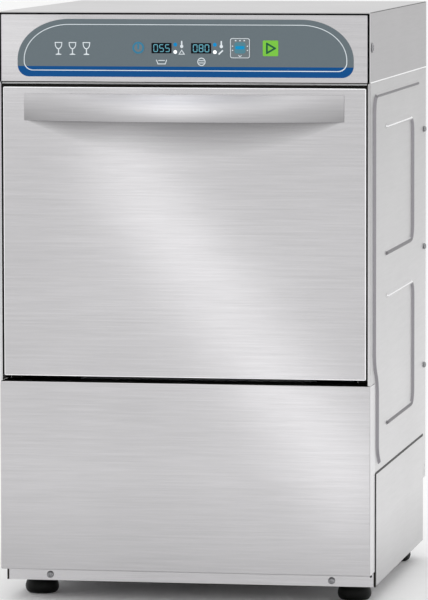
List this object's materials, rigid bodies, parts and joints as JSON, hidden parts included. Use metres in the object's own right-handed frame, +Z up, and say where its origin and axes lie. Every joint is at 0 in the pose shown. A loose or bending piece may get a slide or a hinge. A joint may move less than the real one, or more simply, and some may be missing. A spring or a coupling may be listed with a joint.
{
  "type": "glass washer machine",
  "caption": "Front-loading undercounter glass washer in brushed steel with a drop-down door, spinning wash and rinse arms, touch controls and levelling feet.",
  "frame": {"origin": "middle of the floor under the machine, with the feet at rest", "axes": "+Z up, the door faces -Y, +X to the right as seen from the front"},
  "size_m": [0.4538, 0.528, 0.712],
  "materials": {
    "cabinet_steel": "horizontally brushed stainless steel sheet, satin",
    "cover_steel": "fine satin stainless steel sheet",
    "tank_steel": "bright satin stainless steel, deep drawn",
    "screw_steel": "machined stainless steel",
    "heater_steel": "heat-tinted tube steel",
    "black_plastic": "moulded black polyamide, satin",
    "black_rubber": "matt black EPDM",
    "overlay_film": "grey polyester film with a blue band and a thin pale line",
    "key_blue": "blue-grey film key",
    "key_green": "lit green film key",
    "circuit_board": "green solder resist",
    "arm_plastic": "dark grey glass-filled polypropylene",
    "motor_paint": "semi-matt dark paint"
  },
  "bodies": {
    "cabinet": {"base_frame": "cabinet_steel", "side_panel_left": "cabinet_steel", "side_panel_right": "cabinet_steel", "side_cover_left": "cabinet_steel", "side_cover_right": "cabinet_steel", "rear_panel": "cabinet_steel", "lower_front_panel": "cabinet_steel", "control_panel": "cabinet_steel", "top_cover": "cover_steel", "wash_tank": "tank_steel", "rack_rail_left": "tank_steel", "rack_rail_right": "tank_steel", "tank_filter": "tank_steel", "boiler": "tank_steel", "front_screw_left": "screw_steel", "front_screw_right": "screw_steel", "rear_screw_top_left": "screw_steel", "rear_screw_top_right": "screw_steel", "rear_screw_middle_left": "screw_steel", "rear_screw_middle_right": "screw_steel", "rear_screw_bottom_left": "screw_steel", "rear_screw_bottom_right": "screw_steel", "hinge_bracket_left": "screw_steel", "hinge_bracket_right": "screw_steel", "hinge_pin_left": "screw_steel", "hinge_pin_right": "screw_steel", "door_spring_left": "screw_steel", "door_spring_right": "screw_steel", "tank_heater": "heater_steel", "wash_pump_body": "black_plastic", "drain_pipe": "black_plastic", "inlet_valve": "black_plastic", "cable_gland": "black_plastic", "door_gasket": "black_rubber", "delivery_pipe": "black_rubber", "suction_elbow": "black_rubber", "control_overlay": "overlay_film", "control_board": "circuit_board", "lower_spindle": "arm_plastic", "upper_spindle": "arm_plastic", "pump_motor": "motor_paint"},
    "door": {"door_skin": "cabinet_steel", "door_handle": "cabinet_steel", "door_liner": "tank_steel", "door_edge_seal": "black_rubber", "door_arm_left": "screw_steel", "door_arm_right": "screw_steel"},
    "power_button": {"power_button": "key_blue"},
    "cycle_button": {"cycle_button": "key_blue"},
    "start_button": {"start_button": "key_green"},
    "lower_wash_arm": {"lower_wash_arm": "arm_plastic"},
    "lower_rinse_arm": {"lower_rinse_arm": "arm_plastic"},
    "upper_wash_arm": {"upper_wash_arm": "arm_plastic"},
    "upper_rinse_arm": {"upper_rinse_arm": "arm_plastic"},
    "pump_rotor": {"pump_rotor": "arm_plastic"},
    "overflow_pipe": {"overflow_pipe": "arm_plastic"},
    "foot_front_left": {"foot_front_left": "black_plastic"},
    "foot_front_right": {"foot_front_right": "black_plastic"},
    "foot_rear_left": {"foot_rear_left": "black_plastic"},
    "foot_rear_right": {"foot_rear_right": "black_plastic"}
  },
  "joints": [
    {"name": "door_hinge", "type": "hinge", "parent": "cabinet", "child": "door", "pos_m": [0, -0.222, 0.289], "axis": [1, 0, 0], "range_deg": [0, 90], "stiffness_Nm_per_rad": 2.2, "springref_deg": -11.46, "deforming": ["door_spring_left", "door_spring_right"]},
    {"name": "power_button_press", "type": "slide", "parent": "cabinet", "child": "power_button", "axis": [0, 1, 0], "range_m": [0, 0.0005], "stiffness_N_per_m": 2000, "springref_m": -0.0003},
    {"name": "cycle_button_press", "type": "slide", "parent": "cabinet", "child": "cycle_button", "axis": [0, 1, 0], "range_m": [0, 0.0005], "stiffness_N_per_m": 2000, "springref_m": -0.0003},
    {"name": "start_button_press", "type": "slide", "parent": "cabinet", "child": "start_button", "axis": [0, 1, 0], "range_m": [0, 0.0005], "stiffness_N_per_m": 2000, "springref_m": -0.0003},
    {"name": "lower_wash_arm_spin", "type": "hinge", "parent": "cabinet", "child": "lower_wash_arm", "pos_m": [0, 0.0049, 0.325], "axis": [0, 0, 1], "continuous": true},
    {"name": "lower_rinse_arm_spin", "type": "hinge", "parent": "cabinet", "child": "lower_rinse_arm", "pos_m": [0, 0.0049, 0.325], "axis": [0, 0, 1], "continuous": true},
    {"name": "upper_wash_arm_spin", "type": "hinge", "parent": "cabinet", "child": "upper_wash_arm", "pos_m": [0, 0.0049, 0.592], "axis": [0, 0, 1], "continuous": true},
    {"name": "upper_rinse_arm_spin", "type": "hinge", "parent": "cabinet", "child": "upper_rinse_arm", "pos_m": [0, 0.0049, 0.592], "axis": [0, 0, 1], "continuous": true},
    {"name": "pump_rotor_spin", "type": "hinge", "parent": "cabinet", "child": "pump_rotor", "pos_m": [-0.058, 0.06, 0.085], "axis": [1, 0, 0], "continuous": true},
    {"name": "overflow_pipe_lift", "type": "slide", "parent": "cabinet", "child": "overflow_pipe", "axis": [0, 0, 1], "range_m": [0, 0.015]},
    {"name": "foot_front_left_level", "type": "slide", "parent": "cabinet", "child": "foot_front_left", "axis": [0, 0, -1], "range_m": [0, 0.02]},
    {"name": "foot_front_right_level", "type": "slide", "parent": "cabinet", "child": "foot_front_right", "axis": [0, 0, -1], "range_m": [0, 0.02]},
    {"name": "foot_rear_left_level", "type": "slide", "parent": "cabinet", "child": "foot_rear_left", "axis": [0, 0, -1], "range_m": [0, 0.02]},
    {"name": "foot_rear_right_level", "type": "slide", "parent": "cabinet", "child": "foot_rear_right", "axis": [0, 0, -1], "range_m": [0, 0.02]}
  ]
}
